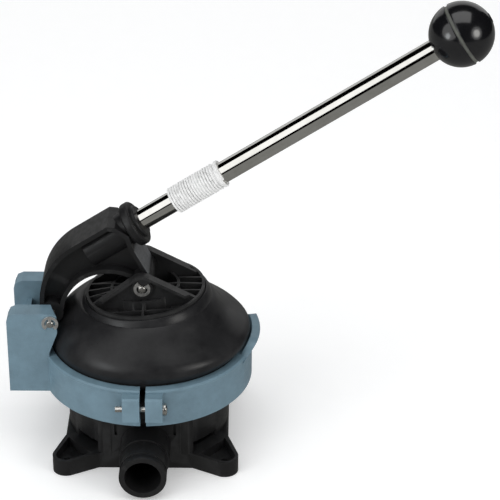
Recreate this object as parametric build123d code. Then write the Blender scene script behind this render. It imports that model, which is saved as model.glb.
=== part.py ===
"""Hand-operated diaphragm bilge pump: body with two hose tails, clamp ring with
fulcrum bracket, rubber diaphragm, ribbed clamping plates, lever and ball handle.

Millimetres. The origin is the centre of the four deck bolts on the underside of
the body. +Z is up, -Y is the outlet, +Y the inlet, and the handle points to +X.
"""

import os
from math import cos, radians, sin, tan

from build123d import *

os.makedirs("parts", exist_ok=True)

# ---------------------------------------------------------------- driving sizes
WALL = 3.5  # moulded wall of the body

# body
BODY_R = 66.7
BODY_Y = 62.5  # half-width across the port faces
PORT_FACE_HALF, PORT_FACE_EDGE = 34.4, 38.6  # half-width of a port face and its bevel
SKIRT_R, SKIRT_X, SKIRT_H = 75.0, 67.0, 14.0
FLOOR_T = 5.0
SHELF_Z = 60.2  # underside of the diaphragm flange
FLANGE_TOP = 76.0
FLANGE_R = 81.8
FLANGE_BORE = 70.0

# rib and slot either side of each port
FACE_RIB_X, FACE_RIB_W, FACE_RIB_TOP = 28.4, 1.0, 60.0
FACE_SLOT_X, FACE_SLOT_W, FACE_SLOT_BOTTOM = 23.8, 2.2, 31.8

# mounting feet
FOOT_H = 14.0
FOOT_TIP_X, FOOT_TIP_Y = 75.5, 75.0
FOOT_CORNER_R = 11.0
BOLT_X, BOLT_Y = 64.0, 63.0  # half-spacings of the deck bolts
BOLT_HOLE_R = 3.3
POCKET_FLOOR, POCKET_WALL = 6.0, 2.8
BOLT_BOSS_R = 6.4

# ports, 38 mm hose
PORT_Z = 21.7
PORT_ROOT_R, PORT_ROOT_END = 20.4, 84.0
PORT_CAVITY_R = 17.6
TAIL_R, TAIL_END = 19.0, 108.0
TAIL_BORE_R = 14.5
TAIL_SPIGOT_START = 74.0
GRIP_START, GRIP_END, GRIP_DEPTH = 100.0, 104.0, 0.7
O_RING_Y, O_RING_R = 79.0, 1.0
SEAT_BORE_R, SEAT_R, SEAT_T = 10.5, 16.0, 3.0

# flap valves
FLAP_R, FLAP_T = 12.6, 2.0
PAD_R, PAD_T = 8.4, 3.4  # weight pad on the flap's back
HINGE_DROP = 14.6  # hinge axis above the port's axis
HINGE_PIN_R, HINGE_PIN_HALF, HINGE_CLEARANCE = 0.8, 7.6, 0.06
HINGE_EAR_X, HINGE_EAR_W = 6.4, 2.4

# clamp ring
RING_R, RING_WALL = 86.0, 4.0
RING_BOTTOM, RING_TOP = 56.2, 89.0
LIP_R = 79.0  # inner edge of the top lip
LIP_Z = 84.6  # underside of the top lip
LIP_BEAD_R = 86.6
SHELF_LIP_R = 78.4  # inner edge of the bottom lip
RING_GAP = 4.6
LUG_W, LUG_OUT = 13.6, 95.0
LUG_BOTTOM, LUG_TOP = 64.5, 86.5
SCREW_Y, SCREW_Z, SCREW_R = -90.2, 75.0, 2.5
SCREW_TIP_X, NUT_X, NUT_T, NUT_W = -21.5, -9.0, 3.2, 8.0
FLARE_TOP, FLARE_R = 98.0, 92.6
FLARE_HALF, FLARE_RAMP = 11.0, 24.0  # degrees either side of +X

# fulcrum bracket
CHEEK_IN, CHEEK_OUT = 19.4, 35.4
BRACKET_LEFT, BRACKET_TOP = -111.0, 128.2
FULCRUM_X, FULCRUM_Z = -76.0, 120.0
FULCRUM_EAR_R = 8.2
CHEEK_WALL, CHEEK_CORE_TOP = 3.2, 108.0
CHEEK_FRONT_X = -77.6

# pins and clips
PIN_R, PIN_CLEARANCE = 3.0, 0.06
CLIP_R, CLIP_T = 6.7, 1.0

# diaphragm plates, in a frame tilted with the plate
PLATE_X, PLATE_Z, PLATE_TILT = -1.1, 134.5, 4.9
PLATE_R = 48.6
PLATE_RIM = 2.2
DISH_FLOOR, PLATE_UNDER = -10.5, -13.5
HUB_R, HUB_WALL, HUB_CREST = 28.4, 2.2, 1.8
FIN_CENTRE, FIN_EDGE = 2.4, -0.2  # crest of the ribs at the centre and at the rim
SIDE_RIB_Y, CHORD_Y, CHORD_HALF = 10.5, 37.5, 25.0
RIB_HALF, SIDE_RIB_HALF, CHORD_T = 0.9, 0.8, 1.6
BOSS_R, BOSS_H = 5.2, 7.2
RUBBER_T = 2.6
RUBBER_BEAD_R, RUBBER_LID_R = 72.5, 51.6
LOWER_PLATE_R, LOWER_PLATE_T = 46.0, 4.0
PLATE_SCREW_RADIUS, PLATE_SCREW_R = 37.0, 2.5
PLATE_PIN_X, PLATE_PIN_Z, PLATE_PIN_REACH = -2.4, 146.8, 25.2
PLATE_EAR_R = 11.6
PLATE_CHEEK_IN, PLATE_CHEEK_OUT, PLATE_FLANGE_OUT = 19.2, 22.6, 27.4
CHEEK_FOOT, FLANGE_END_R = 42.0, 43.0

# lever
LEVER_HALF = 18.0
LEVER_WEB_HALF = 9.0
LEVER_BACK_X = -85.5
LEVER_BACK_BEND = 60.0
FLANGE_OFFSET = 16.5  # back flange above the tube's axis
LEVER_FLANGE_T = 3.6
INNER_ARC_X, INNER_ARC_Z, INNER_ARC_R = -29.5, 119.5, 37.0
LEVER_EAR_R = 9.4
LEVER_EYE_R = 9.2
LEVER_CHEEK_TOP, LEVER_CHEEK_LOW = (-9.7, 179.7), (5.4, 150.6)

# handle, measured along its axis from the socket's mouth
HANDLE_ANGLE = 33.2
SOCKET_X, SOCKET_Z = -5.9, 194.1
SOCKET_R, SOCKET_DEPTH = 14.0, 47.5
COLLAR_START, COLLAR_R, COLLAR_T = -7.0, 18.6, 7.6
NOSE_R, NOSE_T = 13.6, 2.6
TUBE_R, TUBE_WALL = 8.5, 1.2
TUBE_START, TUBE_END = -42.0, 282.0
WHIP_START, WHIP_END, WHIP_T = 33.5, 81.0, 3.0
KNOB_AT, KNOB_R = 296.2, 25.2
STUD_R = 4.0
BAND_START, BAND_END, BAND_R = -1.3, 1.3, 24.1


# ------------------------------------------------------------------- helpers
def rod(start, end, radius):
    """Round bar from one point to another."""
    a, b = Vector(*start), Vector(*end)
    plane = Plane(origin=a, z_dir=(b - a))
    return extrude(plane * Circle(radius), amount=(b - a).length)


def along_x(x0, x1, y, z, radius):
    return rod((x0, y, z), (x1, y, z), radius)


def along_y(y0, y1, x, z, radius):
    return rod((x, y0, z), (x, y1, z), radius)


def side_slab(face, y0, y1):
    """A face drawn as (x, z) made solid from y0 to y1."""
    drawn = Pos(0, y0, 0) * (Plane.XZ * face)
    return extrude(drawn, amount=y1 - y0, dir=(0, 1, 0))


def both_sides(solid):
    return [solid, mirror(solid, about=Plane.XZ)]


def ring_slab(outer, inner, z0, z1):
    """Flat ring about the Z axis."""
    blank = extrude(Circle(outer) - Circle(inner), amount=z1 - z0)
    return Pos(0, 0, z0) * blank


def outline(points):
    return make_face(Polyline(*points, close=True))


def handle_frame(s=0.0):
    """Plane across the handle's axis at distance s from the socket's mouth."""
    a = radians(HANDLE_ANGLE)
    return Plane(
        origin=(SOCKET_X + s * cos(a), 0, SOCKET_Z + s * sin(a)),
        x_dir=(0, 1, 0),
        z_dir=(cos(a), 0, sin(a)),
    )


def on_handle(s0, s1, radius):
    return extrude(handle_frame(s0) * Circle(radius), amount=s1 - s0)


def handle_point(s, n):
    """(x, z) of a point s along the handle's axis and n above it."""
    a = radians(HANDLE_ANGLE)
    return (SOCKET_X + s * cos(a) - n * sin(a), SOCKET_Z + s * sin(a) + n * cos(a))


def save(shape, node):
    shape.label = node
    export_step(shape, f"parts/{node}.step")


def group(solids):
    return Compound(children=[s.solid() for s in solids])


PLATE_FRAME = Location((PLATE_X, 0, PLATE_Z), (0, -PLATE_TILT, 0))


# ----------------------------------------------------------------------- body
def body_section(shrink=0.0):
    """Plan of the body: a circle with a flat box for each port."""
    y, edge = BODY_Y - shrink, PORT_FACE_EDGE - shrink
    face = PORT_FACE_HALF - 0.5 * shrink
    corners = [(-face, y), (face, y), (edge, y - 2.2), (edge, 2.2 - y)]
    corners += [(face, -y), (-face, -y), (-edge, 2.2 - y), (-edge, y - 2.2)]
    return (Circle(BODY_R - shrink) & Rectangle(200, 2 * y)) + outline(corners)


def skirt_section(shrink=0.0):
    return Circle(SKIRT_R - shrink) & Rectangle(2 * (SKIRT_X - shrink), 2 * (BODY_Y - shrink))


def foot_outline(sx, sy, shrink=0.0):
    """Plan of one foot, with its outer corner rounded."""
    tip = (FOOT_TIP_X - FOOT_CORNER_R, FOOT_TIP_Y - FOOT_CORNER_R)
    corner = Pos(*tip) * Circle(FOOT_CORNER_R - shrink)
    spread = FOOT_CORNER_R - shrink
    front, side = (38.0 + shrink, BODY_Y - shrink), (SKIRT_X - shrink, 36.0 + shrink)
    web = outline(
        [
            (20.0, 20.0),
            front,
            (tip[0] - 0.38 * spread, tip[1] + 0.925 * spread),
            (tip[0] + 0.925 * spread, tip[1] - 0.38 * spread),
            side,
        ]
    )
    foot = web + corner
    return foot if (sx, sy) == (1, 1) else scale(foot, by=(sx, sy, 1))


def pump_body():
    body = extrude(body_section(), amount=SHELF_Z)
    skirt = extrude(skirt_section(), amount=SKIRT_H)
    body += fillet(skirt.edges().group_by(Axis.Z)[-1], 1.6)
    body += Pos(0, 0, SHELF_Z) * extrude(Circle(FLANGE_R), amount=FLANGE_TOP - SHELF_Z)
    corners = [(sx, sy) for sx in (-1, 1) for sy in (-1, 1)]
    for sx, sy in corners:
        body += extrude(foot_outline(sx, sy), amount=FOOT_H)
    for y in (-1, 1):
        body += along_y(y * (BODY_Y - 6), y * PORT_ROOT_END, 0, PORT_Z, PORT_ROOT_R)

    # chamber, open at the top
    chamber = extrude(body_section(WALL), amount=SHELF_Z)
    body -= Pos(0, 0, FLOOR_T) * chamber
    body -= Pos(0, 0, SHELF_Z - 0.1) * extrude(Circle(FLANGE_BORE), amount=30)
    for y in (-1, 1):
        body -= along_y(y * (BODY_Y - WALL - 1), y * (BODY_Y + 0.1), 0, PORT_Z, SEAT_R)
        body -= along_y(y * BODY_Y, y * (PORT_ROOT_END + 1), 0, PORT_Z, PORT_CAVITY_R)

    # pockets in the feet round the deck bolt holes
    outside = extrude(skirt_section(-0.01), amount=FOOT_H)
    for sx, sy in corners:
        pocket = extrude(foot_outline(sx, sy, shrink=POCKET_WALL), amount=FOOT_H)
        pocket = Pos(0, 0, POCKET_FLOOR) * pocket - outside
        body -= max(pocket.solids(), key=lambda s: s.volume)
        boss = Pos(sx * BOLT_X, sy * BOLT_Y, 0) * Cylinder(
            BOLT_BOSS_R, POCKET_FLOOR + 1.2, align=(Align.CENTER, Align.CENTER, Align.MIN)
        )
        body += boss
        body -= Pos(sx * BOLT_X, sy * BOLT_Y, 5) * Cylinder(BOLT_HOLE_R, 20)

    # rib and slot on the port faces, each side of the port
    for y in (-1, 1):
        for x in (-1, 1):
            rib_h = FACE_RIB_TOP - SKIRT_H
            rib = Pos(x * FACE_RIB_X, y * BODY_Y, SKIRT_H + rib_h / 2)
            body += rib * Box(FACE_RIB_W, 1.2, rib_h)
            slot_h = SHELF_Z - FACE_SLOT_BOTTOM
            slot = Pos(x * FACE_SLOT_X, y * BODY_Y, FACE_SLOT_BOTTOM + slot_h / 2)
            body -= slot * Box(FACE_SLOT_W, 4.2, slot_h)
    return body


# ---------------------------------------------------------------------- ports
def hose_tail(y):
    """Push-in tail for a 38 mm hose, with a grip groove behind its end."""
    tail = along_y(y * PORT_ROOT_END, y * TAIL_END, 0, PORT_Z, TAIL_R)
    tail += along_y(y * TAIL_SPIGOT_START, y * PORT_ROOT_END, 0, PORT_Z, PORT_CAVITY_R - 0.05)
    tail -= along_y(y * (TAIL_SPIGOT_START - 1), y * (TAIL_END + 1), 0, PORT_Z, TAIL_BORE_R)
    groove = along_y(y * GRIP_START, y * GRIP_END, 0, PORT_Z, TAIL_R + 1)
    groove -= along_y(y * (GRIP_START - 1), y * (GRIP_END + 1), 0, PORT_Z, TAIL_R - GRIP_DEPTH)
    return tail - groove - o_ring(y)


def o_ring(y):
    seal = Torus(PORT_CAVITY_R - O_RING_R, O_RING_R)
    return Pos(0, y * O_RING_Y, PORT_Z) * Rot(90, 0, 0) * seal


def valve_seat(y, outward):
    """Ring pressed into the wall, with two ears for the flap's hinge."""
    inner, outer = BODY_Y - WALL - 0.5, BODY_Y
    seat = along_y(y * inner, y * outer, 0, PORT_Z, SEAT_R - 0.02)
    seat -= along_y(y * (inner - 1), y * (outer + 1), 0, PORT_Z, SEAT_BORE_R)
    face = outer if outward else inner
    step = 1 if outward else -1
    hinge_y = y * (face + step * FLAP_T)
    for x in (-1, 1):
        ear = Pos(x * HINGE_EAR_X, y * (face + step * 1.9), PORT_Z + HINGE_DROP - 0.6)
        seat += ear * Box(HINGE_EAR_W, 3.8, 3.4)
        seat -= along_x(-9, 9, hinge_y, PORT_Z + HINGE_DROP, HINGE_PIN_R)
    return seat, hinge_y


def valve_flap(hinge_y, direction):
    """Rubber disc that covers the seat, hung from its barrel and shut by its pad."""
    face = hinge_y - direction * (FLAP_T - 0.15)
    back = face + direction * FLAP_T
    disc = along_y(face, back, 0, PORT_Z, FLAP_R)
    disc += along_y(back, back + direction * PAD_T, 0, PORT_Z, PAD_R)
    hinge_z = PORT_Z + HINGE_DROP
    mid = (face + back) / 2
    tab = Pos(0, mid, hinge_z - 2.6) * Box(9.6, FLAP_T, 5.2)
    barrel = along_x(-4.8, 4.8, hinge_y, hinge_z, 1.7)
    flap = disc + tab + barrel
    return flap - along_x(-6, 6, hinge_y, hinge_z, HINGE_PIN_R + HINGE_CLEARANCE)


def hinge_pin(hinge_y):
    return along_x(-HINGE_PIN_HALF, HINGE_PIN_HALF, hinge_y, PORT_Z + HINGE_DROP, HINGE_PIN_R)


# ----------------------------------------------------------------- clamp ring
def ring_profile():
    """Half-section of the clamp ring, as (radius, z)."""
    inner = RING_R - RING_WALL
    face = outline(
        [
            (SHELF_LIP_R, RING_BOTTOM),
            (RING_R, RING_BOTTOM),
            (RING_R, RING_TOP - 3.4),
            (LIP_BEAD_R, RING_TOP - 2.6),
            (LIP_BEAD_R, RING_TOP - 1.2),
            (LIP_BEAD_R - 1.2, RING_TOP),
            (LIP_R, RING_TOP),
            (LIP_R, LIP_Z),
            (inner, LIP_Z),
            (inner, SHELF_Z - 0.1),
            (SHELF_LIP_R, SHELF_Z - 0.1),
        ]
    )
    return face


def flare():
    """Raised, outward-leaning edge of the ring under the handle."""
    profile = outline(
        [
            (LIP_R + 2.6, RING_TOP - 2.4),
            (RING_R, RING_TOP - 6.0),
            (FLARE_R, FLARE_TOP - 1.6),
            (FLARE_R - 0.8, FLARE_TOP),
            (FLARE_R - 6.6, FLARE_TOP),
            (LIP_R + 3.4, RING_TOP),
        ]
    )
    turned = revolve(Plane.XZ * profile, axis=Axis.Z, revolution_arc=2 * FLARE_RAMP)
    turned = Rot(0, 0, -FLARE_RAMP) * turned
    low, high = RING_TOP - 1.5, FLARE_TOP
    span = FLARE_R * radians(FLARE_RAMP - FLARE_HALF)
    bend = (span**2 + (high - low) ** 2) / (4 * (high - low))
    middle = (span / 2, (low + high) / 2)
    fall = [
        RadiusArc((0, high), middle, bend),
        RadiusArc(middle, (span, low), -bend),
        Polyline((span, low), (2 * span, low), (2 * span, high + 9), (0, high + 9), (0, high)),
    ]
    wedge = extrude(Plane.XZ * make_face(Curve() + fall), amount=40, both=True)
    for side in (-1, 1):
        cut = wedge if side == 1 else mirror(wedge, about=Plane.YZ)
        turn = Rot(0, 0, side * FLARE_HALF) * Pos(FLARE_R - 4, 0, 0) * Rot(0, 0, 90)
        turned -= turn * cut
    return turned


def clamp_ring():
    ring = revolve(Plane.XZ * ring_profile(), axis=Axis.Z)
    ring += flare()

    # fulcrum bracket: two hollow cheeks joined by a web and a shelf
    ear = Pos(FULCRUM_X, FULCRUM_Z) * Circle(FULCRUM_EAR_R)
    side_view = ear + outline(
        [
            (BRACKET_LEFT, RING_BOTTOM),
            (BRACKET_LEFT, BRACKET_TOP - 7.0),
            (BRACKET_LEFT + 2.2, BRACKET_TOP - 2.2),
            (BRACKET_LEFT + 7.0, BRACKET_TOP),
            (FULCRUM_X, BRACKET_TOP),
            (FULCRUM_X + FULCRUM_EAR_R * 0.96, FULCRUM_Z - 2.4),
            (CHEEK_FRONT_X, 92.0),
            (CHEEK_FRONT_X, RING_BOTTOM),
        ]
    )
    bore = extrude(Circle(RING_R - RING_WALL), amount=LIP_Z)
    bore += extrude(Circle(LIP_R), amount=200)
    core = outline(
        [
            (BRACKET_LEFT + CHEEK_WALL, 0),
            (BRACKET_LEFT + CHEEK_WALL, CHEEK_CORE_TOP),
            (-92.0, CHEEK_CORE_TOP),
            (-89.6, 0),
        ]
    )
    for low, high in ((CHEEK_IN, CHEEK_OUT), (-CHEEK_OUT, -CHEEK_IN)):
        cheek = side_slab(side_view, low, high)
        cheek -= side_slab(core, low + CHEEK_WALL, high - CHEEK_WALL)
        ring += cheek - bore
    web = Pos(-98.0, 0, 84.0) * Box(4.0, 2 * CHEEK_IN + 1, 55.6)
    shelf = Pos(-92.0, 0, 58.2) * Box(16.0, 2 * CHEEK_IN + 1, 4.0)
    ring += (web + shelf) - bore
    ring -= along_y(-60, 60, FULCRUM_X, FULCRUM_Z, PIN_R)

    # split at the front, with a screw lug each side
    lug_face = outline(
        [
            (-RING_R + 5.0, LUG_BOTTOM - 4.0),
            (-RING_R + 1.0, LUG_BOTTOM - 4.0),
            (-LUG_OUT, LUG_BOTTOM + 1.0),
            (-LUG_OUT, LUG_TOP - 1.5),
            (-LUG_OUT + 1.5, LUG_TOP),
            (-RING_R + 5.0, LUG_TOP),
        ]
    )
    reach = RING_GAP / 2 + LUG_W
    lugs = extrude(Plane.YZ * lug_face, amount=reach, both=True)
    ring += lugs - bore
    ring -= Pos(0, -RING_R, 80) * Box(RING_GAP, 40, 80)
    ring -= along_x(-30, 30, SCREW_Y, SCREW_Z, SCREW_R + 0.15)
    nut_slot = Box(NUT_T + 0.2, NUT_W + 0.2, NUT_W + 0.2)
    return ring - Pos(NUT_X, SCREW_Y, SCREW_Z) * nut_slot


def clamp_screw():
    """M5 pan-head screw with a cross recess."""
    head_x = RING_GAP / 2 + LUG_W
    shank = along_x(SCREW_TIP_X, head_x, SCREW_Y, SCREW_Z, SCREW_R)
    head = along_x(head_x, head_x + 3.6, SCREW_Y, SCREW_Z, 4.8)
    head = fillet(head.edges().group_by(Axis.X)[-1], 1.8)
    recess = Pos(head_x + 3.4, SCREW_Y, SCREW_Z) * (Box(2.4, 4.6, 1.1) + Box(2.4, 1.1, 4.6))
    return shank + head - recess


def clamp_nut():
    nut = Pos(NUT_X, SCREW_Y, SCREW_Z) * Box(NUT_T, NUT_W, NUT_W)
    return nut - along_x(NUT_X - 3, NUT_X + 3, SCREW_Y, SCREW_Z, SCREW_R)


# ------------------------------------------------------------------ diaphragm
def tilted_ring(tilt, radius, x, z):
    """Circle about a point on the dome's leaning centre line."""
    plane = Plane(
        origin=(x, 0, z),
        x_dir=(cos(radians(tilt)), 0, sin(radians(tilt))),
        z_dir=(-sin(radians(tilt)), 0, cos(radians(tilt))),
    )
    return plane * Circle(radius)


# tilt, radius and centre of rings up the dome: slack towards the fulcrum,
# drawn tight under the handle
DOME = [
    (0.0, 78.2, 0.0, 84.0),
    (0.0, 78.6, 0.2, 90.0),
    (0.8, 78.2, 1.8, 97.5),
    (-3.2, 71.6, 3.2, 107.6),
    (-5.0, 61.7, 3.2, 116.2),
    (PLATE_TILT, 53.6, -0.3, 120.9),
]


def diaphragm():
    """Bellows-shaped rubber dome with a bead clamped under the ring's lip."""
    outer = loft([tilted_ring(*row) for row in DOME])
    top = Plane(PLATE_FRAME) * Pos(0, 0, PLATE_UNDER)
    skin = loft(
        [tilted_ring(t, r - RUBBER_T, x, z - 0.8 * RUBBER_T) for t, r, x, z in DOME]
    )
    bead = ring_slab(FLANGE_R, RUBBER_BEAD_R, FLANGE_TOP, LIP_Z)
    lid = top * extrude(Circle(RUBBER_LID_R), amount=-RUBBER_T)
    dome = (outer - skin) + bead + lid
    dome -= extrude(Circle(RUBBER_BEAD_R), amount=FLANGE_TOP + 4)
    for x, y in screw_places():
        dome -= PLATE_FRAME * Pos(x, y, -20) * Cylinder(PLATE_SCREW_R + 0.2, 60)
    return dome


# --------------------------------------------------------------------- plates
def screw_places():
    turns = [radians(45 + 90 * i) for i in range(4)]
    return [(PLATE_SCREW_RADIUS * cos(t), PLATE_SCREW_RADIUS * sin(t)) for t in turns]


def plate_cheek():
    """Triangular ear that carries one end of the plate's pin, as (x, z)."""
    px, pz = PLATE_PIN_X, PLATE_PIN_Z
    lean = radians(27.0)
    reach = PLATE_EAR_R
    left = (px - reach * sin(lean), pz + reach * cos(lean))
    right = (px + reach * sin(lean), pz + reach * cos(lean))
    foot = CHEEK_FOOT
    drop = tan(radians(PLATE_TILT)) * foot
    top, bottom = PLATE_Z - 1.0, PLATE_Z - 12.5
    face = Pos(px, pz) * Circle(reach)
    return face + outline(
        [
            left,
            right,
            (PLATE_X + foot, top + drop),
            (PLATE_X + foot, bottom + drop),
            (PLATE_X - foot, bottom - drop),
            (PLATE_X - foot, top - drop),
        ]
    )


def fin_face():
    """Radial rib that falls from the hub to the rim, as (radius, height)."""
    return outline(
        [
            (0.0, PLATE_UNDER),
            (PLATE_R - 1.0, PLATE_UNDER),
            (PLATE_R - 1.0, FIN_EDGE),
            (HUB_R, HUB_CREST),
            (0.0, FIN_CENTRE),
        ]
    )


def top_plate():
    """Ribbed dish above the rubber, with the two ears for the lever's pin."""
    floor = extrude(Circle(PLATE_R), amount=DISH_FLOOR - PLATE_UNDER)
    dish = Pos(0, 0, PLATE_UNDER) * floor
    dish += ring_slab(PLATE_R, PLATE_R - PLATE_RIM, PLATE_UNDER, 0)
    dish += ring_slab(HUB_R, HUB_R - HUB_WALL, PLATE_UNDER, HUB_CREST)
    for turn in (0, 90, 166.5, 180, 193.5, 270):
        dish += Rot(0, 0, turn) * side_slab(fin_face(), -RIB_HALF, RIB_HALF)
    rib = outline(
        [
            (HUB_R - 1.5, PLATE_UNDER),
            (PLATE_R - 3.0, PLATE_UNDER),
            (PLATE_R - 3.0, FIN_EDGE),
            (HUB_R - 1.5, HUB_CREST - 0.6),
        ]
    )
    for y in (-SIDE_RIB_Y, SIDE_RIB_Y):
        for turn in (0, 180):
            web = side_slab(rib, y - SIDE_RIB_HALF, y + SIDE_RIB_HALF)
            dish += Rot(0, 0, turn) * web
    chord_h = -0.5 - PLATE_UNDER
    for y in (-CHORD_Y, CHORD_Y):
        dish += Pos(0, y, PLATE_UNDER + chord_h / 2) * Box(2 * CHORD_HALF, CHORD_T, chord_h)
    for x, y in screw_places():
        dish += Pos(x, y, PLATE_UNDER) * Cylinder(
            BOSS_R, BOSS_H, align=(Align.CENTER, Align.CENTER, Align.MIN)
        )
    plate = PLATE_FRAME * dish
    face = plate_cheek()
    border = face - offset(face, -2.4)
    for cheek in both_sides(side_slab(face, PLATE_CHEEK_IN, PLATE_CHEEK_OUT)):
        plate += cheek
    limit = PLATE_FRAME * (Pos(0, 0, -40) * extrude(Circle(FLANGE_END_R), amount=90))
    for flange in both_sides(side_slab(border, PLATE_CHEEK_OUT - 0.5, PLATE_FLANGE_OUT)):
        plate += flange & limit
    for y in (-1, 1):
        plate += along_y(
            y * PLATE_CHEEK_OUT, y * PLATE_PIN_REACH, PLATE_PIN_X, PLATE_PIN_Z, 8.4
        )
    for gusset in both_sides(cheek_gusset()):
        plate += gusset
    trim = Pos(0, 0, PLATE_UNDER) * extrude(Circle(PLATE_R), amount=80)
    plate = plate & (PLATE_FRAME * trim)
    for x, y in screw_places():
        plate -= PLATE_FRAME * Pos(x, y, PLATE_UNDER) * Cylinder(PLATE_SCREW_R + 0.8, 14.0)
    return plate - along_y(-40, 40, PLATE_PIN_X, PLATE_PIN_Z, PIN_R)


def cheek_gusset():
    """Upright rib from the middle of an ear out to the chord rib."""
    return extrude(
        Plane.YZ
        * outline(
            [
                (PLATE_CHEEK_OUT - 1.0, PLATE_Z - 12.0),
                (PLATE_CHEEK_OUT - 1.0, PLATE_PIN_Z - 9.6),
                (CHORD_Y, PLATE_Z - 1.4),
                (CHORD_Y, PLATE_Z - 12.0),
            ]
        ),
        amount=RIB_HALF,
        both=True,
    )


def lower_plate():
    disc = extrude(Circle(LOWER_PLATE_R), amount=-LOWER_PLATE_T)
    disc = chamfer(disc.edges().group_by(Axis.Z)[0], 1.4)
    disc += ring_slab(30.0, 27.0, -LOWER_PLATE_T - 3.0, -LOWER_PLATE_T)
    for x, y in screw_places():
        disc -= Pos(x, y, 0) * Cylinder(PLATE_SCREW_R + 0.2, 20)
    return PLATE_FRAME * Pos(0, 0, PLATE_UNDER - RUBBER_T) * disc


def plate_screws():
    """Four pan-head screws driven up from under the lower plate."""
    under = PLATE_UNDER - RUBBER_T - LOWER_PLATE_T
    made = []
    for x, y in screw_places():
        shank = Pos(x, y, under) * Cylinder(
            PLATE_SCREW_R, 13.0, align=(Align.CENTER, Align.CENTER, Align.MIN)
        )
        head = Pos(x, y, under) * Cylinder(
            4.6, 3.2, align=(Align.CENTER, Align.CENTER, Align.MAX)
        )
        head = fillet(head.edges().group_by(Axis.Z)[0], 1.4)
        slot = Pos(x, y, under - 3.0) * (Box(4.4, 1.1, 2.2) + Box(1.1, 4.4, 2.2))
        made.append(PLATE_FRAME * (shank + head - slot))
    return group(made)


def plate_inserts():
    """Brass threaded inserts moulded into the top plate's bosses."""
    made = []
    for x, y in screw_places():
        sleeve = extrude(Circle(PLATE_SCREW_R + 0.8) - Circle(PLATE_SCREW_R), amount=6.6)
        made.append(PLATE_FRAME * Pos(x, y, PLATE_UNDER + 0.3) * sleeve)
    return group(made)


# --------------------------------------------------------------- pins, clips
def grooved_pin(x, z, reach):
    """Pin across the pump, with a clip groove near each end."""
    pin = along_y(-reach - 2.6, reach + 2.6, x, z, PIN_R)
    pin = chamfer(pin.edges(), 0.5)
    for y in (-1, 1):
        groove = along_y(y * reach, y * (reach + CLIP_T + 0.1), x, z, PIN_R + 1)
        groove -= along_y(y * (reach - 1), y * (reach + 3), x, z, PIN_R - 0.7)
        pin -= groove
    return pin


def pin_clips(x, z, reach, opening):
    """A pair of E-clips; opening is the direction of their mouth, in degrees."""
    gap = radians(38)
    mouth = outline([(0, 0), (12 * cos(gap), 12 * sin(gap)), (12 * cos(gap), -12 * sin(gap))])
    clip = Circle(CLIP_R) - Circle(CLIP_R - 2.3) - mouth
    for turn in (52, 180, 308):
        prong = Pos(3.7, 0) * Rectangle(3.2, 2.4)
        clip += (Rot(0, 0, turn) * prong) & Circle(CLIP_R - 0.5)
    clip -= Circle(PIN_R - 0.7)
    clip = Rot(0, 0, opening) * clip
    made = []
    for y0, y1 in ((-reach - CLIP_T, -reach), (reach, reach + CLIP_T)):
        made.append(side_slab(Pos(x, z) * clip, y0, y1))
    return group(made)


# ---------------------------------------------------------------------- lever
def lever_outline():
    """Side view of the lever's hook, as (x, z)."""
    a = radians(HANDLE_ANGLE)
    bend_x = LEVER_BACK_X + LEVER_BACK_BEND
    drop = FLANGE_OFFSET - LEVER_BACK_BEND + (bend_x - SOCKET_X) * sin(a)
    bend_z = SOCKET_Z + drop / cos(a)
    start = (LEVER_BACK_X, bend_z)
    half = radians((90 - HANDLE_ANGLE) / 2)
    mid = (bend_x - LEVER_BACK_BEND * cos(half), bend_z + LEVER_BACK_BEND * sin(half))
    end = (bend_x - LEVER_BACK_BEND * sin(a), bend_z + LEVER_BACK_BEND * cos(a))
    crest = handle_point(COLLAR_START - 10.8, FLANGE_OFFSET)
    shoulder = handle_point(COLLAR_START - 5.8, SOCKET_R - 1.5)
    throat = handle_point(COLLAR_START - 0.8, 0)
    path = [
        Line((FULCRUM_X - LEVER_EAR_R, FULCRUM_Z), (LEVER_BACK_X, FULCRUM_Z + 2)),
        Line((LEVER_BACK_X, FULCRUM_Z + 2), start),
        ThreePointArc(start, mid, end),
        Line(end, crest),
        Line(crest, shoulder),
        Line(shoulder, throat),
        Line(throat, LEVER_CHEEK_TOP),
        Line(LEVER_CHEEK_TOP, LEVER_CHEEK_LOW),
        Line(LEVER_CHEEK_LOW, (PLATE_PIN_X, PLATE_PIN_Z)),
        Line((PLATE_PIN_X, PLATE_PIN_Z), (FULCRUM_X, FULCRUM_Z)),
        Line((FULCRUM_X, FULCRUM_Z), (FULCRUM_X - LEVER_EAR_R, FULCRUM_Z)),
    ]
    return make_face(Curve() + path)


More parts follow.
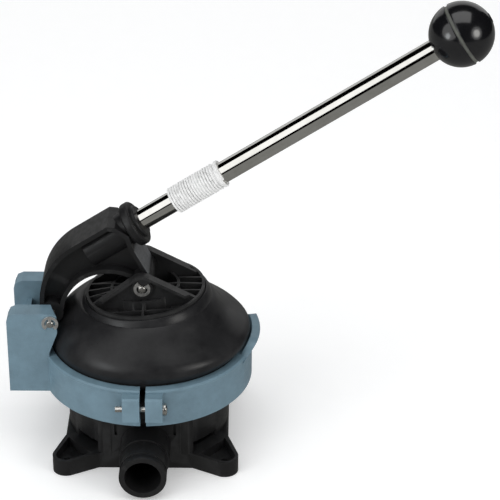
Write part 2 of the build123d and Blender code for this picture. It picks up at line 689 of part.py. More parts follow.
def lever_fork():
    """Hooked arm of I-section with a socket for the handle."""
    arc = Pos(INNER_ARC_X, INNER_ARC_Z) * Circle(INNER_ARC_R)
    hook = lever_outline() - arc
    eye = Pos(PLATE_PIN_X, PLATE_PIN_Z) * Circle(LEVER_EYE_R)
    ear = Pos(FULCRUM_X, FULCRUM_Z) * Circle(LEVER_EAR_R)
    blank = side_slab(hook + eye + ear, -LEVER_HALF, LEVER_HALF)
    pocket = offset(hook, -LEVER_FLANGE_T, kind=Kind.INTERSECTION)
    pocket = pocket - offset(eye, 1.0) - offset(ear, 0.6)
    for recess in both_sides(side_slab(pocket, LEVER_WEB_HALF, LEVER_HALF + 1)):
        blank -= recess
    blank += on_handle(-SOCKET_DEPTH, COLLAR_START + 1.0, SOCKET_R)
    collar_end = COLLAR_START + COLLAR_T
    collar = on_handle(COLLAR_START, collar_end, COLLAR_R)
    collar = fillet(collar.edges(), 2.2)
    nose = on_handle(collar_end - 0.2, collar_end + NOSE_T, NOSE_R)
    nose = chamfer(nose.edges().group_by(Axis.X)[-1], 1.2)
    lever = blank + collar + nose
    lever -= on_handle(TUBE_START, 30, TUBE_R)
    lever -= along_y(-40, 40, PLATE_PIN_X, PLATE_PIN_Z, PIN_R + PIN_CLEARANCE)
    return lever - along_y(-40, 40, FULCRUM_X, FULCRUM_Z, PIN_R + PIN_CLEARANCE)


# --------------------------------------------------------------------- handle
def handle_tube():
    tube = on_handle(TUBE_START, TUBE_END, TUBE_R)
    return tube - on_handle(TUBE_START - 1, TUBE_END + 1, TUBE_R - TUBE_WALL)


def whipping():
    sleeve = on_handle(WHIP_START, WHIP_END, TUBE_R + WHIP_T)
    return sleeve - on_handle(WHIP_START - 1, WHIP_END + 1, TUBE_R)


def knob_ball():
    return handle_frame(KNOB_AT) * Sphere(KNOB_R)


def knob_base():
    ball = knob_ball() & on_handle(KNOB_AT - 40, KNOB_AT + BAND_START, 40)
    ball -= on_handle(KNOB_AT - 40, TUBE_END + 0.5, TUBE_R)
    return ball - on_handle(TUBE_END - 1, KNOB_AT + 10, STUD_R)


def knob_band():
    disc = on_handle(KNOB_AT + BAND_START, KNOB_AT + BAND_END, BAND_R)
    return disc - on_handle(KNOB_AT - 5, KNOB_AT + 10, STUD_R)


def knob_cap():
    ball = knob_ball() & on_handle(KNOB_AT + BAND_END, KNOB_AT + 40, 40)
    return ball - on_handle(KNOB_AT, KNOB_AT + 15.5, STUD_R)


def knob_stud():
    return on_handle(TUBE_END - 18, KNOB_AT + 15, STUD_R)


def tube_plug():
    plug = on_handle(TUBE_END - 16, TUBE_END, TUBE_R - TUBE_WALL)
    return plug - on_handle(TUBE_END - 20, TUBE_END + 1, STUD_R)


# ----------------------------------------------------------------------- build
save(pump_body(), "pump_body")
for side, name, out in ((-1, "outlet", True), (1, "inlet", False)):
    seat, hinge = valve_seat(side, out)
    save(hose_tail(side), f"{name}_hose_tail")
    save(o_ring(side), f"{name}_o_ring")
    save(seat, f"{name}_valve_seat")
    save(valve_flap(hinge, -1), f"{name}_valve_flap")
    save(hinge_pin(hinge), f"{name}_flap_pin")
save(clamp_ring(), "clamp_ring")
save(clamp_screw(), "clamp_screw")
save(clamp_nut(), "clamp_nut")
save(diaphragm(), "diaphragm")
save(top_plate(), "top_plate")
save(lower_plate(), "lower_plate")
save(plate_screws(), "plate_screws")
save(plate_inserts(), "plate_inserts")
save(grooved_pin(FULCRUM_X, FULCRUM_Z, CHEEK_OUT), "fulcrum_pin")
save(pin_clips(FULCRUM_X, FULCRUM_Z, CHEEK_OUT, 270), "fulcrum_clips")
save(grooved_pin(PLATE_PIN_X, PLATE_PIN_Z, PLATE_PIN_REACH), "plate_pin")
save(pin_clips(PLATE_PIN_X, PLATE_PIN_Z, PLATE_PIN_REACH, 80), "plate_clips")
save(lever_fork(), "lever")
save(handle_tube(), "handle_tube")
save(whipping(), "handle_whipping")
save(tube_plug(), "tube_plug")
save(knob_stud(), "knob_stud")
save(knob_base(), "knob_base")
save(knob_band(), "knob_band")
save(knob_cap(), "knob_cap")
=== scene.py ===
"""Looks for the manual bilge pump: moulded plastics, rubber dome, polished bar,
wound cord and ball handle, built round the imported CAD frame. Metres."""

import random
from math import acos, cos, pi, radians, sin, sqrt

import bmesh
import bpy
from mathutils import Matrix, Vector, noise


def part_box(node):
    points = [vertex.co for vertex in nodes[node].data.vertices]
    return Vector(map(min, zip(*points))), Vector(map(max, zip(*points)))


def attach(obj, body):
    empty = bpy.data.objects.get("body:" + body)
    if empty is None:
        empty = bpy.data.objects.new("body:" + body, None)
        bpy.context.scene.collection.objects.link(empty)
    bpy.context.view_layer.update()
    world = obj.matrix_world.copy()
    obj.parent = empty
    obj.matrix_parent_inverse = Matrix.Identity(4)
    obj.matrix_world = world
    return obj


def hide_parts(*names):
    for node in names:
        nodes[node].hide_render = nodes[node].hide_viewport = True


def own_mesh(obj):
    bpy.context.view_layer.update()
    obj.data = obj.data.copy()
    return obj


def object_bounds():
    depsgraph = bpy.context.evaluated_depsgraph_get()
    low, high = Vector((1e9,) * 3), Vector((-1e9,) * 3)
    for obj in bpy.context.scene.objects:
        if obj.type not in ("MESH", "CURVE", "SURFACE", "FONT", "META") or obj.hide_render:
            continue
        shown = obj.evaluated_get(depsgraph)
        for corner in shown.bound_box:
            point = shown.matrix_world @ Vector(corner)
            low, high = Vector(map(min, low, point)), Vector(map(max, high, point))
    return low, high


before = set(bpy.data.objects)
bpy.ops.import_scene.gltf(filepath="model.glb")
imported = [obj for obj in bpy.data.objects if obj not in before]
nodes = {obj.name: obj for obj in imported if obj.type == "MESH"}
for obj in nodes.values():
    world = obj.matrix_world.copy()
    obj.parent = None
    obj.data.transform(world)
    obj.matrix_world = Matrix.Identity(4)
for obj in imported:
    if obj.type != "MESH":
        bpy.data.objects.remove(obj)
cad_low, cad_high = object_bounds()

MM = 0.001
ROOT, LEVER, PLATE = "pump", "lever_body", "plate_body"
SEED = 7


# ------------------------------------------------------------------------- sizes
def extent(node):
    """Lowest and highest corner of a CAD node, and the point halfway between."""
    low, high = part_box(node)
    return low, high, (low + high) / 2


def half_width(node):
    low, high, _ = extent(node)
    return (high.y - low.y) / 2


HANDLE_ANGLE = radians(33.2)  # between the bar and the ground
ALONG = Vector((cos(HANDLE_ANGLE), 0, sin(HANDLE_ANGLE)))
ACROSS = Vector((0, 1, 0))
UPWARD = Vector((-sin(HANDLE_ANGLE), 0, cos(HANDLE_ANGLE)))
TUBE_R = half_width("handle_tube")

PLATE_CENTRE, PLATE_TILT = Vector((-1.1, 0, 134.5)) * MM, radians(4.9)

# the lever's sloping face below its socket: its normal as (x, z), how far out it is
# along that normal, and the heights between which it shows
SLOPE_NORMAL = (0.887, 0.460)
SLOPE_AT = 74.06 * MM
SLOPE_LOW, SLOPE_HIGH, SLOPE_FADE = 154.5 * MM, 176.0 * MM, 2 * MM


# ------------------------------------------------------------------ materials
BLACK_RGB, BLACK_ROUGHNESS = (0.0085, 0.0085, 0.0090), 0.44
BLUE_RGB, BLUE_ROUGHNESS = (0.134, 0.212, 0.262), 0.40
# paler colour of the lever's sloping face: partly scuffing, partly painted light
SCUFF_AND_LIGHT_RGB = (0.105, 0.110, 0.117)

# the Mix node's colour sockets, whose names it also gives to its other data types
MIX_FIRST, MIX_SECOND, MIX_RESULT = 6, 7, 2


class Shader:
    """A Principled material whose patterns are placed in metres on the part."""

    def __init__(self, name, colour, roughness, metallic=0.0):
        self.material = bpy.data.materials.new(name)
        self.material.use_nodes = True
        self.tree = self.material.node_tree
        self.surface = self.tree.nodes["Principled BSDF"]
        self.place = self.node("ShaderNodeTexCoord").outputs["Object"]
        self.set("Base Color", (*colour, 1.0))
        self.set("Roughness", roughness)
        self.set("Metallic", metallic)

    def node(self, kind, **values):
        made = self.tree.nodes.new(kind)
        for key, value in values.items():
            setattr(made, key, value)
        return made

    def link(self, source, target):
        self.tree.links.new(source, target)

    def set(self, name, value):
        self.surface.inputs[name].default_value = value

    def stretched(self, scale, turn=(0.0, 0.0, 0.0)):
        mapping = self.node("ShaderNodeMapping")
        mapping.inputs["Scale"].default_value = scale
        mapping.inputs["Rotation"].default_value = turn
        self.link(self.place, mapping.inputs["Vector"])
        return mapping.outputs["Vector"]

    def noise(self, size, detail=3.0, roughness=0.55, place=None):
        """Noise whose features are about size metres across."""
        made = self.node("ShaderNodeTexNoise")
        made.inputs["Scale"].default_value = 1.0 / size
        made.inputs["Detail"].default_value = detail
        made.inputs["Roughness"].default_value = roughness
        self.link(place or self.place, made.inputs["Vector"])
        return made.outputs["Fac"]

    def remap(self, value, low, high, to_low, to_high):
        made = self.node("ShaderNodeMapRange")
        for name, number in zip(
            ("From Min", "From Max", "To Min", "To Max"), (low, high, to_low, to_high)
        ):
            made.inputs[name].default_value = number
        self.link(value, made.inputs["Value"])
        return made.outputs["Result"]

    def mix(self, share, first, second):
        """Colour between first and second; each is a colour or a socket."""
        made = self.node("ShaderNodeMix", data_type="RGBA")
        self.link(share, made.inputs["Factor"])
        for index, value in ((MIX_FIRST, first), (MIX_SECOND, second)):
            if isinstance(value, tuple):
                made.inputs[index].default_value = (*value, 1.0)
            else:
                self.link(value, made.inputs[index])
        return made.outputs[MIX_RESULT]

    def blend(self, value, low, high, first, second, most=1.0):
        """Colour that leaves first for second as value goes from low to high."""
        return self.mix(self.remap(value, low, high, 0.0, most), first, second)

    def combine(self, first, second, operation="MULTIPLY"):
        made = self.node("ShaderNodeMath", operation=operation)
        for index, value in enumerate((first, second)):
            if isinstance(value, (int, float)):
                made.inputs[index].default_value = value
            else:
                self.link(value, made.inputs[index])
        return made.outputs["Value"]

    def bump(self, height, strength, depth):
        """Adds a bump layer of the given depth in metres to those already there."""
        made = self.node("ShaderNodeBump")
        made.inputs["Strength"].default_value = strength
        made.inputs["Distance"].default_value = depth
        self.link(height, made.inputs["Height"])
        normal = self.surface.inputs["Normal"]
        if normal.is_linked:
            self.link(normal.links[0].from_socket, made.inputs["Normal"])
        self.link(made.outputs["Normal"], normal)

    def colour(self, socket):
        self.link(socket, self.surface.inputs["Base Color"])

    def rough(self, socket):
        self.link(socket, self.surface.inputs["Roughness"])

    def pointiness(self):
        """High on outward edges and low in hollows."""
        return self.node("ShaderNodeNewGeometry").outputs["Pointiness"]

    def glow(self, socket):
        self.link(socket, self.surface.inputs["Emission Color"])
        self.set("Emission Strength", 1.0)


def tinted(colour, factor):
    return tuple(min(1.0, c * factor) for c in colour)


def scuffed_and_lit_slope(s, under, clouds):
    """Paler plastic on the lever's sloping face below its socket: partly scuffing, partly painted
    light where the face turns to the lamps on the right.
    """
    axes = s.node("ShaderNodeSeparateXYZ")
    s.link(s.place, axes.inputs["Vector"])
    x, z = axes.outputs["X"], axes.outputs["Z"]
    out = s.combine(s.combine(x, SLOPE_NORMAL[0]), s.combine(z, SLOPE_NORMAL[1]), "ADD")
    skin = s.remap(out, SLOPE_AT - 0.6 * MM, SLOPE_AT - 0.2 * MM, 0.0, 1.0)
    above = s.remap(z, SLOPE_LOW, SLOPE_LOW + SLOPE_FADE, 0.0, 1.0)
    below = s.remap(z, SLOPE_HIGH, SLOPE_HIGH + SLOPE_FADE, 1.0, 0.0)
    grain = s.remap(s.noise(1.4 * MM, 5.0, 0.7), 0.3, 0.7, 0.55, 1.0)
    patches = s.remap(clouds, 0.3, 0.6, 0.8, 1.0)
    shown = s.combine(skin, s.combine(above, below))
    # painted light with scuffing: the sloping face is painted paler
    return s.mix(s.combine(shown, s.combine(grain, patches)), under, SCUFF_AND_LIGHT_RGB)


def moulded(name, colour, roughness, grain, edge_highlight, sloping_scuff_and_light=False):
    """Injection-moulded plastic: fine spark grain, slow ripples, painted highlights on outward
    edges.
    """
    s = Shader(name, colour, roughness)
    s.set("IOR", 1.5)
    s.set("Specular IOR Level", 0.38)
    clouds = s.noise(14 * MM, 4.0, 0.6)
    speck = s.noise(0.9 * MM, 2.0, 0.5)
    body = s.blend(clouds, 0.3, 0.7, tinted(colour, 0.88), tinted(colour, 1.12))
    body = s.blend(speck, 0.62, 0.8, body, tinted(colour, 1.7), most=0.28)
    # painted highlight: outward edges are painted lighter, in patches
    edges = s.remap(s.pointiness(), 0.515, 0.58, 0.0, 1.0)
    edge_highlight_mask = s.combine(edges, s.remap(clouds, 0.35, 0.6, 0.3, 1.0))
    light = tuple(min(1.0, c * 1.5 + 0.022) for c in colour)
    edge_highlighted = s.mix(s.combine(edge_highlight_mask, edge_highlight), body, light)
    s.colour(scuffed_and_lit_slope(s, edge_highlighted, clouds) if sloping_scuff_and_light else edge_highlighted)
    smear = s.noise(6 * MM, 5.0, 0.6, s.stretched((1.0, 1.0, 2.6), (0.3, 0.5, 0.1)))
    s.rough(s.remap(smear, 0.3, 0.75, roughness - 0.07, roughness + 0.09))
    s.bump(s.noise(0.42 * MM, 3.0, 0.6), 0.35 * grain, 0.05 * MM)
    s.bump(s.noise(9 * MM, 2.0, 0.4), 0.25, 0.12 * MM)
    return s.material


def dome_rubber():
    """Smooth black rubber with a slow bloom, a little dust and shallow dents."""
    s = Shader("dome_rubber", (0.014, 0.014, 0.015), 0.34)
    s.set("IOR", 1.52)
    s.set("Specular IOR Level", 0.27)
    bloom = s.noise(18 * MM, 5.0, 0.62)
    dust = s.noise(1.6 * MM, 4.0, 0.7)
    body = s.blend(bloom, 0.35, 0.7, (0.011, 0.011, 0.012), (0.020, 0.020, 0.021))
    s.colour(s.blend(dust, 0.66, 0.8, body, (0.05, 0.05, 0.05), most=0.35))
    s.rough(s.remap(bloom, 0.3, 0.7, 0.27, 0.40))
    s.bump(s.noise(0.5 * MM, 3.0, 0.6), 0.16, 0.04 * MM)
    s.bump(s.noise(12 * MM, 2.0, 0.5), 0.3, 0.18 * MM)
    return s.material


def soft_rubber():
    """Matt rubber of the seals and flaps."""
    s = Shader("soft_rubber", (0.02, 0.02, 0.02), 0.6)
    bloom = s.noise(5 * MM, 4.0, 0.6)
    s.colour(s.blend(bloom, 0.3, 0.7, (0.016, 0.016, 0.016), (0.034, 0.034, 0.033)))
    s.rough(s.remap(bloom, 0.3, 0.7, 0.52, 0.7))
    s.bump(s.noise(0.4 * MM, 3.0, 0.6), 0.3, 0.04 * MM)
    return s.material


def polished_steel():
    """Drawn stainless bar: mirror finish with faint hairlines along its length."""
    s = Shader("polished_steel", (0.80, 0.79, 0.76), 0.06, metallic=1.0)
    drawn = s.stretched((0.02, 1.0, 1.0), (0.0, HANDLE_ANGLE, 0.0))
    hair = s.noise(0.35 * MM, 2.0, 0.5, drawn)
    smudge = s.noise(16 * MM, 5.0, 0.65)
    lines = s.remap(hair, 0.3, 0.7, 0.03, 0.08)
    s.rough(s.combine(lines, s.remap(smudge, 0.45, 0.7, 0.0, 0.05), "ADD"))
    s.colour(s.blend(smudge, 0.4, 0.75, (0.82, 0.81, 0.78), (0.70, 0.69, 0.65)))
    s.bump(hair, 0.05, 0.01 * MM)
    return s.material


def bright_steel(name, colour, roughness):
    """Steel of the screws, pins and clips: fine turning marks and slow stains."""
    s = Shader(name, colour, roughness, metallic=1.0)
    turned = s.noise(0.5 * MM, 4.0, 0.6)
    stain = s.noise(3 * MM, 4.0, 0.6)
    s.rough(s.remap(turned, 0.3, 0.7, roughness - 0.08, roughness + 0.08))
    s.colour(s.blend(stain, 0.4, 0.7, tinted(colour, 1.08), tinted(colour, 0.73)))
    s.bump(turned, 0.12, 0.02 * MM)
    return s.material


def brass():
    """Dull brass of the threaded inserts."""
    s = Shader("brass", (0.62, 0.45, 0.2), 0.3, metallic=1.0)
    stain = s.noise(2 * MM, 4.0, 0.6)
    s.colour(s.blend(stain, 0.35, 0.7, (0.66, 0.49, 0.22), (0.4, 0.27, 0.11)))
    s.rough(s.remap(stain, 0.3, 0.7, 0.24, 0.42))
    return s.material


def white_cord():
    """Bleached twine: matt fibres, patches of grey soiling, and darker in the valleys between the
    turns.
    """
    s = Shader("white_cord", (0.80, 0.80, 0.79), 0.85)
    s.set("Sheen Weight", 0.35)
    s.set("Sheen Roughness", 0.5)
    s.set("Subsurface Weight", 0.12)
    s.set("Subsurface Radius", (0.6 * MM, 0.6 * MM, 0.6 * MM))
    s.set("Subsurface Scale", 0.5)
    fibre = s.noise(0.22 * MM, 4.0, 0.7, s.stretched((1.0, 0.35, 1.0)))
    soil = s.noise(4 * MM, 4.0, 0.6)
    pale = s.blend(fibre, 0.3, 0.7, (0.66, 0.66, 0.66), (0.90, 0.90, 0.89))
    soiled = s.blend(soil, 0.5, 0.75, pale, (0.46, 0.46, 0.45), most=0.6)
    # darker in the valleys between the turns, where pointiness is low
    valleys = s.remap(s.pointiness(), 0.38, 0.49, 0.40, 0.0)
    s.colour(s.mix(valleys, soiled, (0.44, 0.44, 0.43)))
    s.bump(fibre, 0.7, 0.14 * MM)
    return s.material


def knob_gloss():
    """Polished phenolic ball with light polishing haze."""
    s = Shader("knob_gloss", (0.006, 0.006, 0.007), 0.12)
    s.set("IOR", 1.55)
    s.set("Coat Weight", 0.35)
    s.set("Coat Roughness", 0.12)
    haze = s.noise(7 * MM, 5.0, 0.65)
    hair = s.noise(0.5 * MM, 3.0, 0.6, s.stretched((1.0, 0.12, 1.0), (0.4, 0.2, 0.7)))
    lines = s.remap(hair, 0.6, 0.75, 0.0, 0.05)
    s.rough(s.combine(s.remap(haze, 0.35, 0.7, 0.13, 0.21), lines, "ADD"))
    s.bump(s.noise(16 * MM, 2.0, 0.4), 0.12, 0.1 * MM)
    return s.material


def knob_band_satin():
    """Dull grey band between the ball's halves."""
    s = Shader("knob_band_satin", (0.11, 0.115, 0.10), 0.5)
    tool = s.noise(0.4 * MM, 4.0, 0.6)
    stain = s.noise(5 * MM, 4.0, 0.6)
    s.colour(s.blend(stain, 0.35, 0.7, (0.13, 0.135, 0.118), (0.085, 0.088, 0.078)))
    s.rough(s.remap(tool, 0.3, 0.7, 0.42, 0.6))
    s.bump(tool, 0.3, 0.03 * MM)
    return s.material


# ------------------------------------------------------------------ mesh helpers
def new_piece(name, vertices, faces, material):
    mesh = bpy.data.meshes.new(name)
    mesh.from_pydata(vertices, [], faces)
    mesh.update()
    piece = bpy.data.objects.new(name, mesh)
    bpy.context.scene.collection.objects.link(piece)
    mesh.materials.append(material)
    for polygon in mesh.polygons:
        polygon.use_smooth = True
    return piece


def grid_faces(rows, columns, wrap_rows=False):
    """Quads over a grid of points numbered row by row; its columns close up."""
    faces = []
    for i in range(rows if wrap_rows else rows - 1):
        for j in range(columns):
            a, b = i, (i + 1) % rows
            c, d = j, (j + 1) % columns
            faces.append((a * columns + c, b * columns + c, b * columns + d, a * columns + d))
    return faces


def smooth_curve(points, samples):
    """Catmull-Rom curve through the points, as a list of vectors."""
    ends = [points[0] * 2 - points[1], *points, points[-1] * 2 - points[-2]]
    made = []
    for i in range(1, len(ends) - 2):
        p0, p1, p2, p3 = ends[i - 1 : i + 3]
        second = 2 * p0 - 5 * p1 + 4 * p2 - p3
        third = 3 * p1 - p0 - 3 * p2 + p3
        for k in range(samples):
            t = k / samples
            made.append(0.5 * (2 * p1 + (p2 - p0) * t + second * t * t + third * t * t * t))
    return made + [points[-1]]


def round_sections(rows, columns, place):
    """Vertices of closed sections; each row bends smoothly through its three points."""
    vertices = []
    for ahead, port, behind in rows:
        for j in range(columns):
            turn = 2 * pi * j / columns
            w = cos(turn)
            radius, height = (
                p + (a - b) / 2 * w + ((a + b) / 2 - p) * w * w
                for a, p, b in zip(ahead, port, behind)
            )
            vertices.append(place(radius, height, turn))
    return vertices


def thicken(piece, thickness):
    """Gives an open skin its thickness on the inside."""
    face = piece.data.polygons[len(piece.data.polygons) // 3]
    outward = face.normal.dot(Vector((face.center.x, face.center.y, 0))) > 0
    shell = piece.modifiers.new("thickness", "SOLIDIFY")
    shell.thickness = thickness
    shell.offset = -1.0 if outward else 1.0
    bpy.context.view_layer.objects.active = piece
    bpy.ops.object.modifier_apply(modifier="thickness")


# ------------------------------------------------------------------------- dome
DOME_SKIN = 2.0 * MM
DOME_SIDES, COLLAR_SIDES = 256, 192
SAG_SHARE, SAG_HEIGHT = 0.006, 24  # how uneven the dome is, and over what height in mm

# radius and height in millimetres under the handle, at the ports and towards the
# fulcrum, from the clamped edge inside the ring's lip up to the lid under the plate
DOME_ROWS = [
    ((77.0, 84.8), (77.0, 84.8), (77.0, 84.8)),
    ((78.0, 87.4), (78.0, 87.4), (78.0, 87.4)),
    ((78.8, 89.6), (78.5, 89.6), (78.5, 89.6)),
    ((81.6, 92.2), (79.6, 92.4), (79.2, 92.4)),
    ((84.0, 95.6), (80.4, 96.0), (79.4, 96.0)),
    ((84.2, 99.4), (79.8, 100.0), (78.4, 100.4)),
    ((81.2, 103.2), (77.6, 104.4), (75.6, 105.4)),
    ((76.4, 106.6), (74.0, 108.4), (71.8, 110.6)),
    ((71.0, 110.2), (69.4, 112.6), (67.4, 115.2)),
    ((65.4, 114.6), (64.4, 117.0), (62.6, 119.4)),
    ((60.2, 120.0), (59.4, 121.4), (58.4, 122.0)),
    ((55.6, 125.8), (55.2, 124.8), (55.0, 123.2)),
    ((52.0, 129.4), (52.4, 126.6), (52.8, 123.2)),
    ((50.4, 129.6), (51.0, 126.0), (51.6, 122.2)),
    ((48.8, 126.4), (49.6, 122.2), (50.4, 118.4)),
    ((46.0, 124.5), (46.8, 120.6), (47.6, 116.6)),
    ((20.0, 122.3), (20.0, 120.6), (20.0, 118.8)),
]

# radius and height of the rubber's bead round the plate's rim, in the plate's frame
COLLAR = [
    (48.8, -12.6),
    (48.8, -8.0),
    (48.8, -3.8),
    (49.1, -3.0),
    (49.8, -3.0),
    (50.5, -3.9),
    (51.4, -5.4),
    (52.4, -7.3),
    (53.2, -9.4),
    (53.6, -11.6),
    (52.8, -13.2),
    (51.0, -13.9),
    (49.4, -13.4),
]


def dome(material):
    """Clamped rubber dome, slack towards the fulcrum and drawn tight under the handle."""
    flat = [Vector([value for point in row for value in point]) for row in DOME_ROWS]
    fine = [[tuple(v[0:2]), tuple(v[2:4]), tuple(v[4:6])] for v in smooth_curve(flat, 6)]

    def place(radius, height, turn):
        sag = noise.noise(Vector((2 * cos(turn), 2 * sin(turn), height / SAG_HEIGHT)))
        radius *= 1 + SAG_SHARE * sag
        return (radius * cos(turn) * MM, radius * sin(turn) * MM, height * MM)

    vertices = round_sections(fine, DOME_SIDES, place)
    piece = new_piece("rubber_dome", vertices, grid_faces(len(fine), DOME_SIDES), material)
    thicken(piece, DOME_SKIN)
    return piece


def collar(material):
    """Bead of the dome that grips the plate's rim and travels with it."""
    rows = smooth_curve([Vector((r, z, 0)) for r, z in COLLAR], 4)
    rows = [[(v.x, v.y)] * 3 for v in rows]
    lean = Matrix.Rotation(-PLATE_TILT, 4, "Y")

    def place(radius, height, turn):
        point = Vector((radius * cos(turn), radius * sin(turn), height)) * MM
        return PLATE_CENTRE + lean @ point

    vertices = round_sections(rows, COLLAR_SIDES, place)
    faces = grid_faces(len(rows), COLLAR_SIDES, wrap_rows=True)
    return new_piece("rubber_collar", vertices, faces, material)


# ---------------------------------------------------------------------- whipping
CORD_R = 1.0 * MM
CORD_SIDES, CORD_STEPS = 14, 84  # round the cord, and along each turn of it
PLY_TWIST = 0.80  # radians that the three plies turn in one step
LOWER_PITCH, UPPER_PITCH = 2.02 * CORD_R, 2.3 * CORD_R
END_TURNS = 1.9
END_ROOM, END_START = 5.2 * MM, 2.6 * MM  # back from the winding's end at the knob


def strand(name, material, base, start, end, turns, rise, wobble, phase, dice):
    """Helical run of three-ply twine; rise is its centre's height above the bar."""
    count = int(turns * CORD_STEPS)
    drift = [dice.uniform(-1, 1) for _ in range(int(turns) + 3)]
    points = []
    for k in range(count + 1):
        t = k / count
        whole, part = int(turns * t), turns * t - int(turns * t)
        shove = drift[whole] * (1 - part) + drift[whole + 1] * part
        angle = 2 * pi * turns * t + phase
        s = start + (end - start) * t + wobble * (sin(angle + 0.6 * shove) + 0.3 * shove)
        radius = TUBE_R + rise + 0.07 * MM * shove
        points.append(base + ALONG * s + (ACROSS * cos(angle) + UPWARD * sin(angle)) * radius)
    vertices = []
    for k, point in enumerate(points):
        tangent = (points[min(k + 1, count)] - points[max(k - 1, 0)]).normalized()
        side = (point - base - ALONG * (point - base).dot(ALONG)).normalized()
        other = tangent.cross(side).normalized()
        for j in range(CORD_SIDES):
            around = 2 * pi * j / CORD_SIDES
            reach = CORD_R * (0.93 + 0.11 * cos(3 * around + k * PLY_TWIST))
            vertices.append(point + (side * cos(around) + other * sin(around)) * reach)
    faces = grid_faces(len(points), CORD_SIDES)
    last = count * CORD_SIDES
    faces.append(tuple(range(CORD_SIDES)))
    faces.append(tuple(reversed(range(last, last + CORD_SIDES))))
    piece = new_piece(name, vertices, faces, material)
    mesh = bmesh.new()
    mesh.from_mesh(piece.data)
    bmesh.ops.recalc_face_normals(mesh, faces=mesh.faces)
    mesh.to_mesh(piece.data)
    mesh.free()
    return piece


def wound_cord(material):
    """Twine in two crossing layers, with a separate pair of turns at the knob's end."""
    low, high, centre = extent("handle_whipping")
    ends = 2 * half_width("handle_whipping") * sin(HANDLE_ANGLE)
    length = (high.x - low.x - ends) / cos(HANDLE_ANGLE)
    base = Vector((centre.x, 0, centre.z)) - ALONG * length / 2
    dice = random.Random(SEED)
    first, last = CORD_R, length - CORD_R
    upper_end, tail = last - END_ROOM, last - END_START
    lower_turns = (last - first) / LOWER_PITCH
    upper_turns = (upper_end - first) / UPPER_PITCH
    # where it starts and ends, turns, rise, wobble and the angle it starts at
    runs = {
        "whipping_first": (first, last, lower_turns, 0.97 * CORD_R, 0.06 * MM, 0.0),
        "whipping_second": (
            first + 0.4 * MM, upper_end, upper_turns, 1.85 * CORD_R, 0.5 * MM, 1.1
        ),
        "whipping_end": (tail, last - 0.4 * MM, END_TURNS, 1.95 * CORD_R, 0.2 * MM, 2.3),
    }
    return [strand(name, material, base, *run, dice) for name, run in runs.items()]


# ------------------------------------------------------------------------- knob
BALL_R = half_width("knob_base")
BALL_EDGE = 0.35 * MM
BALL_BORE = 3.9 * MM
BALL_RINGS, BALL_SIDES = 96, 192
BAND_HALF = 1.3 * MM


def cut_face(at, inward):
    """Profile of a flat cut across the ball and its eased edge, from the bore out."""
    r = sqrt(BALL_R**2 - at**2)
    eased = (at + inward * BALL_EDGE * 0.3, r - BALL_EDGE * 0.7)
    return [(at, BALL_BORE), (at, r - BALL_EDGE * 2), eased]


def knob_shell(name, centre, start, end, material):
    """Part of the ball between two planes across the handle, with an open bore."""
    opening = cut_face(start, 1) if start > -BALL_R else []
    closing = cut_face(end, -1)[::-1] if end < BALL_R else []
    first = start + BALL_EDGE if opening else -BALL_R
    last = end - BALL_EDGE if closing else BALL_R
    a0, a1 = acos(first / BALL_R), acos(last / BALL_R)
    arc = []
    for i in range(BALL_RINGS + 1):
        a = a0 + (a1 - a0) * i / BALL_RINGS
        arc.append((BALL_R * cos(a), max(BALL_R * sin(a), BALL_BORE)))
    profile = opening + arc + closing
    vertices = []
    for s, r in profile:
        for j in range(BALL_SIDES):
            turn = 2 * pi * j / BALL_SIDES
            vertices.append(centre + ALONG * s + (ACROSS * cos(turn) + UPWARD * sin(turn)) * r)
    return new_piece(name, vertices, grid_faces(len(profile), BALL_SIDES), material)


# ------------------------------------------------------------- carried-over nodes
WELD_GAP = 0.002 * MM
EDGE_ANGLE = radians(32)  # sharper edges than this are rounded


def finish_cad(node, material, bevel, segments):
    """Gives a CAD node its material and softly rounded moulding edges."""
    piece = nodes[node]
    piece.data.materials.clear()
    piece.data.materials.append(material)
    weld = piece.modifiers.new("weld", "WELD")
    weld.merge_threshold = WELD_GAP
    if bevel:
        edge = piece.modifiers.new("edges", "BEVEL")
        edge.width = bevel
        edge.segments = segments
        edge.limit_method = "ANGLE"
        edge.angle_limit = EDGE_ANGLE
        edge.miter_outer = "MITER_ARC"


BLACK = moulded("black_plastic", BLACK_RGB, BLACK_ROUGHNESS, grain=0.8, edge_highlight=0.5)
BLUE = moulded("blue_plastic", BLUE_RGB, BLUE_ROUGHNESS, grain=0.4, edge_highlight=0.25)
# the lever's plastic also has its sloping face painted paler, as scuffing and painted light
LEVER_BLACK = moulded(
    "lever_plastic", BLACK_RGB, BLACK_ROUGHNESS, grain=0.8, edge_highlight=0.5, sloping_scuff_and_light=True
)
STEEL = bright_steel("bright_steel", (0.63, 0.62, 0.59), 0.28)
CLIP_STEEL = bright_steel("clip_steel", (0.88, 0.87, 0.85), 0.46)
CHROME = polished_steel()
CORD = white_cord()
KNOB = knob_gloss()
SOFT = soft_rubber()
RUBBER = dome_rubber()

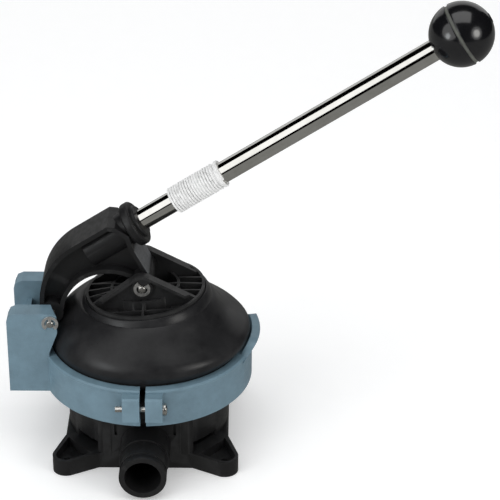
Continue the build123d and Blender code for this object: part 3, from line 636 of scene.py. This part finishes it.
# material, radius of the rounded edges, its segments, and the nodes
FINISHES = [
    (BLACK, 0.5 * MM, 3, ("pump_body", "outlet_hose_tail", "inlet_hose_tail", "top_plate")),
    (LEVER_BLACK, 0.5 * MM, 3, ("lever",)),
    (BLACK, 0.3 * MM, 2, ("lower_plate", "outlet_valve_seat", "inlet_valve_seat", "tube_plug")),
    (BLUE, 0.7 * MM, 3, ("clamp_ring",)),
    (STEEL, 0.12 * MM, 2, ("clamp_screw", "clamp_nut", "plate_screws", "knob_stud")),
    (STEEL, 0.1 * MM, 2, ("fulcrum_pin", "plate_pin", "outlet_flap_pin", "inlet_flap_pin")),
    (CLIP_STEEL, 0.15 * MM, 2, ("fulcrum_clips", "plate_clips")),
    (CHROME, 0.0, 2, ("handle_tube",)),
    (brass(), 0.1 * MM, 2, ("plate_inserts",)),
    (SOFT, 0.2 * MM, 2, ("outlet_o_ring", "inlet_o_ring", "outlet_valve_flap", "inlet_valve_flap")),
    (knob_band_satin(), 0.15 * MM, 2, ("knob_band",)),
]
for material, bevel, segments, names in FINISHES:
    for name in names:
        finish_cad(name, material, bevel, segments)

rubber = dome(RUBBER)
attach(rubber, ROOT)
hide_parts("diaphragm")
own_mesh(rubber)
bead = collar(RUBBER)
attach(bead, PLATE)
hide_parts("diaphragm")

for turns in wound_cord(CORD):
    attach(turns, LEVER)
    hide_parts("handle_whipping")

_, cap_high, _ = extent("knob_cap")
ball = Vector((cap_high.x - BALL_R, 0, cap_high.z - BALL_R))
for node, start, end in (("knob_base", -BALL_R, -BAND_HALF), ("knob_cap", BAND_HALF, BALL_R)):
    shell = knob_shell(f"{node}_shell", ball, start, end, KNOB)
    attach(shell, LEVER)
    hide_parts(node)


# ------------------------------------------------------------------------- stage
FLOOR_HALF, FLOOR_DROP = 6.0, 0.0002
TABLE_HALF, TABLE_DROP = 3.0, 0.004
AIM = Vector((0.12, 0, 0.22))  # the middle of the pump, which the lamps point at

CAMERA_AT = Vector((0.0776, -1.3192, 0.8822))
CAMERA_FALL, CAMERA_TURN, CAMERA_ROLL = radians(28.39), radians(0.258), radians(0.587)
CAMERA_LENS, CAMERA_SENSOR = 134.3, 36


def level_sheet(name, half, drop, material):
    """Square sheet, the given drop below the pump's feet."""
    corners = [(half * x, half * y, 0) for x, y in ((-1, -1), (1, -1), (1, 1), (-1, 1))]
    sheet = new_piece(name, corners, [(0, 1, 2, 3)], material)
    sheet.location.z = cad_low.z - drop
    return sheet


def stage_floor():
    """White floor with a faint glow, so that it stays white between the lamps."""
    s = Shader("floor", (0.92, 0.92, 0.92), 0.9)
    paper = s.noise(0.02, 4.0, 0.6)
    s.colour(s.mix(paper, (0.91, 0.91, 0.91), (0.93, 0.93, 0.93)))
    s.glow(s.mix(paper, (0.19, 0.19, 0.19), (0.21, 0.21, 0.21)))
    floor = level_sheet("floor", FLOOR_HALF, FLOOR_DROP, s.material)
    floor.visible_glossy = False


def reflected_floor():
    """Dim tabletop that only glossy reflections see, just under the white floor."""
    s = Shader("table", (0.0, 0.0, 0.0), 1.0)
    s.glow(s.mix(s.noise(0.3, 2.0, 0.5), (0.17, 0.17, 0.165), (0.25, 0.25, 0.24)))
    table = level_sheet("table", TABLE_HALF, TABLE_DROP, s.material)
    table.visible_camera = False
    table.visible_diffuse = False
    table.visible_shadow = False
    table.visible_transmission = False


def area_light(name, place, target, size, power, colour=(1, 1, 1)):
    data = bpy.data.lights.new(name, "AREA")
    data.shape = "RECTANGLE"
    data.size, data.size_y = size
    data.energy = power
    data.color = colour
    lamp = bpy.data.objects.new(name, data)
    lamp.location = place
    lamp.rotation_mode = "QUATERNION"
    lamp.rotation_quaternion = (Vector(target) - Vector(place)).to_track_quat("-Z", "Y")
    bpy.context.scene.collection.objects.link(lamp)
    return lamp


def soft_light(name, direction, distance, diameter, radiance, colour=(1, 1, 1)):
    """Round diffuser, placed by its direction from the middle of the pump."""
    area = pi * (diameter / 2) ** 2
    place = AIM + Vector(direction).normalized() * distance
    lamp = area_light(name, place, AIM, (diameter, diameter), radiance * pi * area, colour)
    lamp.data.shape = "DISK"


def studio():
    """Pale surroundings, a soft lamp with a bright core on each side, and two above."""
    world = bpy.data.worlds.new("studio")
    bpy.context.scene.world = world
    world.use_nodes = True
    back = world.node_tree.nodes["Background"]
    back.inputs["Color"].default_value = (0.97, 0.985, 1.0, 1.0)
    back.inputs["Strength"].default_value = 0.44
    world.cycles_visibility.glossy = False
    right, left = (0.733, -0.579, 0.355), (-0.774, -0.597, 0.199)
    soft_light("right_core", right, 1.6, 0.60, 4.4, (1.0, 0.98, 0.94))
    soft_light("right_spill", right, 1.75, 1.15, 1.1)
    soft_light("left_core", left, 1.6, 0.52, 3.6, (0.93, 0.98, 1.0))
    soft_light("left_spill", (-0.70, -0.58, 0.44), 1.75, 1.9, 1.2)
    area_light("ceiling", (0.1, -0.2, 2.3), (0.1, 0.0, 0.2), (2.0, 1.6), 15)
    area_light("backdrop", (0.1, 1.9, 0.9), (0.1, 0.0, 0.25), (3.2, 1.5), 9)
    reflected_floor()
    bpy.context.scene.view_settings.view_transform = "Standard"


def long_lens_camera():
    """Long lens, looking down on the pump from the outlet's side."""
    fall, turn, roll = CAMERA_FALL, CAMERA_TURN, CAMERA_ROLL
    forward = Vector((sin(turn) * cos(fall), cos(turn) * cos(fall), -sin(fall)))
    right = Vector((cos(turn), -sin(turn), 0))
    up = right.cross(forward)
    level_right = right * cos(roll) + up * sin(roll)
    level_up = up * cos(roll) - right * sin(roll)
    data = bpy.data.cameras.new("camera")
    data.sensor_width = CAMERA_SENSOR
    data.lens = CAMERA_LENS
    data.clip_start, data.clip_end = 0.05, 20
    camera = bpy.data.objects.new("camera", data)
    axes = (level_right, level_up, -forward, CAMERA_AT)
    rows = [[axis[i] for axis in axes] for i in range(3)]
    camera.matrix_world = Matrix((*rows, (0, 0, 0, 1)))
    bpy.context.scene.collection.objects.link(camera)
    bpy.context.scene.camera = camera


stage_floor()
studio()
long_lens_camera()
